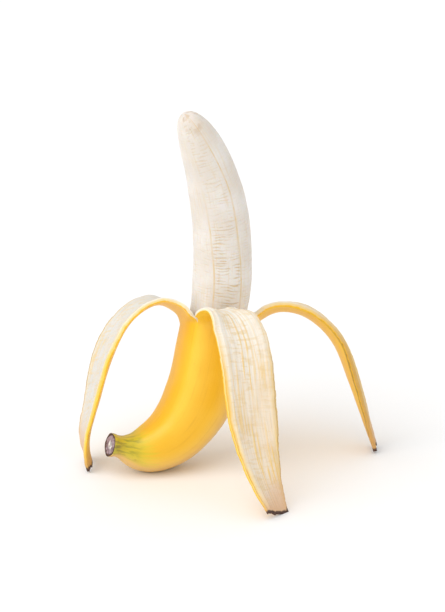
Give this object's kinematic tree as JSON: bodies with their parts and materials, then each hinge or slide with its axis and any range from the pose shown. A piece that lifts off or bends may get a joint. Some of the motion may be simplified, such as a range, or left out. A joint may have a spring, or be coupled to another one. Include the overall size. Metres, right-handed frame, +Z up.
{
  "type": "peeled banana",
  "caption": "A half-peeled banana standing on its belly and on the tips of its peel strips, which arch out from the middle of the fruit, with the pale flesh rising above them.",
  "frame": {"origin": "on the table under the middle of the bounding box", "axes": "+Z up along the bare fruit, which is the longest extent; +X to the right and +Y away from the viewer as the object is shown in the picture, so the stem points to -X"},
  "size_m": [0.155, 0.1044, 0.1853],
  "materials": {
    "peel": "satin, ripe banana skin, yellow outside and cream inside",
    "flesh": "moist, soft banana flesh, cream"
  },
  "bodies": {
    "root": {"peel": "peel", "flesh": "flesh"}
  },
  "joints": []
}
